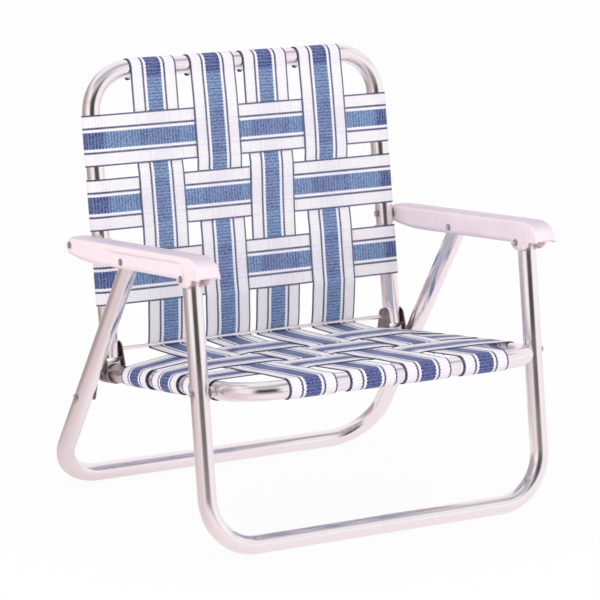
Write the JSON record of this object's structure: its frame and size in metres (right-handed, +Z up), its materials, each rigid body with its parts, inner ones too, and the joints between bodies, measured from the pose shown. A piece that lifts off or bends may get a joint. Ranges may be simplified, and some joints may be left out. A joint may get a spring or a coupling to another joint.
{
  "type": "folding webbed lawn chair",
  "caption": "Low folding lawn chair with a bent aluminium tube frame, striped woven webbing on seat and back, and white moulded armrests.",
  "frame": {"origin": "on the floor, under the middle of the chair's box, with the chair open", "axes": "+Z up, the sitter faces -Y, +X to the right in the front view"},
  "size_m": [0.5684, 0.5181, 0.6165],
  "materials": {
    "tube": "polished",
    "armrest": "satin white",
    "bracket": "stamped, dull",
    "rivet": "zinc plated",
    "webbing": "woven, striped"
  },
  "bodies": {
    "seat": {"seat_frame": "tube", "hinge_bracket_left": "bracket", "hinge_bracket_right": "bracket", "back_saddle_left": "rivet", "back_saddle_right": "rivet", "hinge_rod": "rivet", "bracket_rivet_left": "rivet", "bracket_rivet_right": "rivet", "seat_leg_rivet_left": "rivet", "seat_leg_rivet_right": "rivet", "seat_leg_spacer_left": "rivet", "seat_leg_spacer_right": "rivet", "seat_strap_1": "webbing", "seat_strap_2": "webbing", "seat_strap_3": "webbing", "seat_strap_4": "webbing", "seat_row_1": "webbing", "seat_row_2": "webbing", "seat_row_3": "webbing"},
    "back": {"back_frame": "tube", "back_strap_1": "webbing", "back_strap_2": "webbing", "back_strap_3": "webbing", "back_strap_4": "webbing", "back_row_1": "webbing", "back_row_2": "webbing", "back_row_3": "webbing"},
    "arm_left": {"armrest_left": "armrest", "arm_back_rivet_left": "rivet", "arm_rear_leg_rivet_left": "rivet", "arm_front_leg_rivet_left": "rivet", "arm_back_washer_left": "rivet"},
    "arm_right": {"armrest_right": "armrest", "arm_back_rivet_right": "rivet", "arm_rear_leg_rivet_right": "rivet", "arm_front_leg_rivet_right": "rivet", "arm_back_washer_right": "rivet"},
    "front_legs": {"front_leg_frame": "tube"},
    "rear_legs": {"rear_leg_frame": "tube", "link_leg_rivet_left": "rivet", "link_leg_rivet_right": "rivet"},
    "link_left": {"leg_link_left": "bracket", "link_rivet_end_left": "rivet"},
    "link_right": {"leg_link_right": "bracket", "link_rivet_end_right": "rivet"}
  },
  "joints": [
    {"name": "back_fold", "type": "hinge", "parent": "seat", "child": "back", "pos_m": [0, 0.13157, 0.2172], "axis": [1, 0, 0], "range_deg": [0, 80]},
    {"name": "front_leg_fold", "type": "hinge", "parent": "seat", "child": "front_legs", "pos_m": [0, -0.18571, 0.22061], "axis": [1, 0, 0], "range_deg": [0, 80]},
    {"name": "arm_left_pivot", "type": "hinge", "parent": "back", "child": "arm_left", "pos_m": [-0.2652, 0.1534, 0.36682], "axis": [1, 0, 0], "range_deg": [-80, 0]},
    {"name": "arm_right_pivot", "type": "hinge", "parent": "back", "child": "arm_right", "pos_m": [0.2652, 0.1534, 0.36682], "axis": [1, 0, 0], "range_deg": [-80, 0]},
    {"name": "rear_leg_fold", "type": "hinge", "parent": "arm_left", "child": "rear_legs", "pos_m": [-0.2652, 0.00419, 0.36642], "axis": [1, 0, 0], "range_deg": [0, 34.4]},
    {"name": "link_left_swing", "type": "hinge", "parent": "seat", "child": "link_left", "pos_m": [-0.2498, 0.13157, 0.2172], "axis": [1, 0, 0], "range_deg": [-62.1, 0]},
    {"name": "link_right_swing", "type": "hinge", "parent": "seat", "child": "link_right", "pos_m": [0.2498, 0.13157, 0.2172], "axis": [1, 0, 0], "range_deg": [-62.1, 0]}
  ],
  "couplings": [
    {"joint": "front_leg_fold", "follows": "back_fold", "ratio": 1},
    {"joint": "arm_left_pivot", "follows": "back_fold", "ratio": -1},
    {"joint": "arm_right_pivot", "follows": "back_fold", "ratio": -1},
    {"joint": "rear_leg_fold", "follows": "back_fold", "ratio": 0.4296},
    {"joint": "link_left_swing", "follows": "back_fold", "ratio": -0.7756},
    {"joint": "link_right_swing", "follows": "back_fold", "ratio": -0.7756}
  ]
}
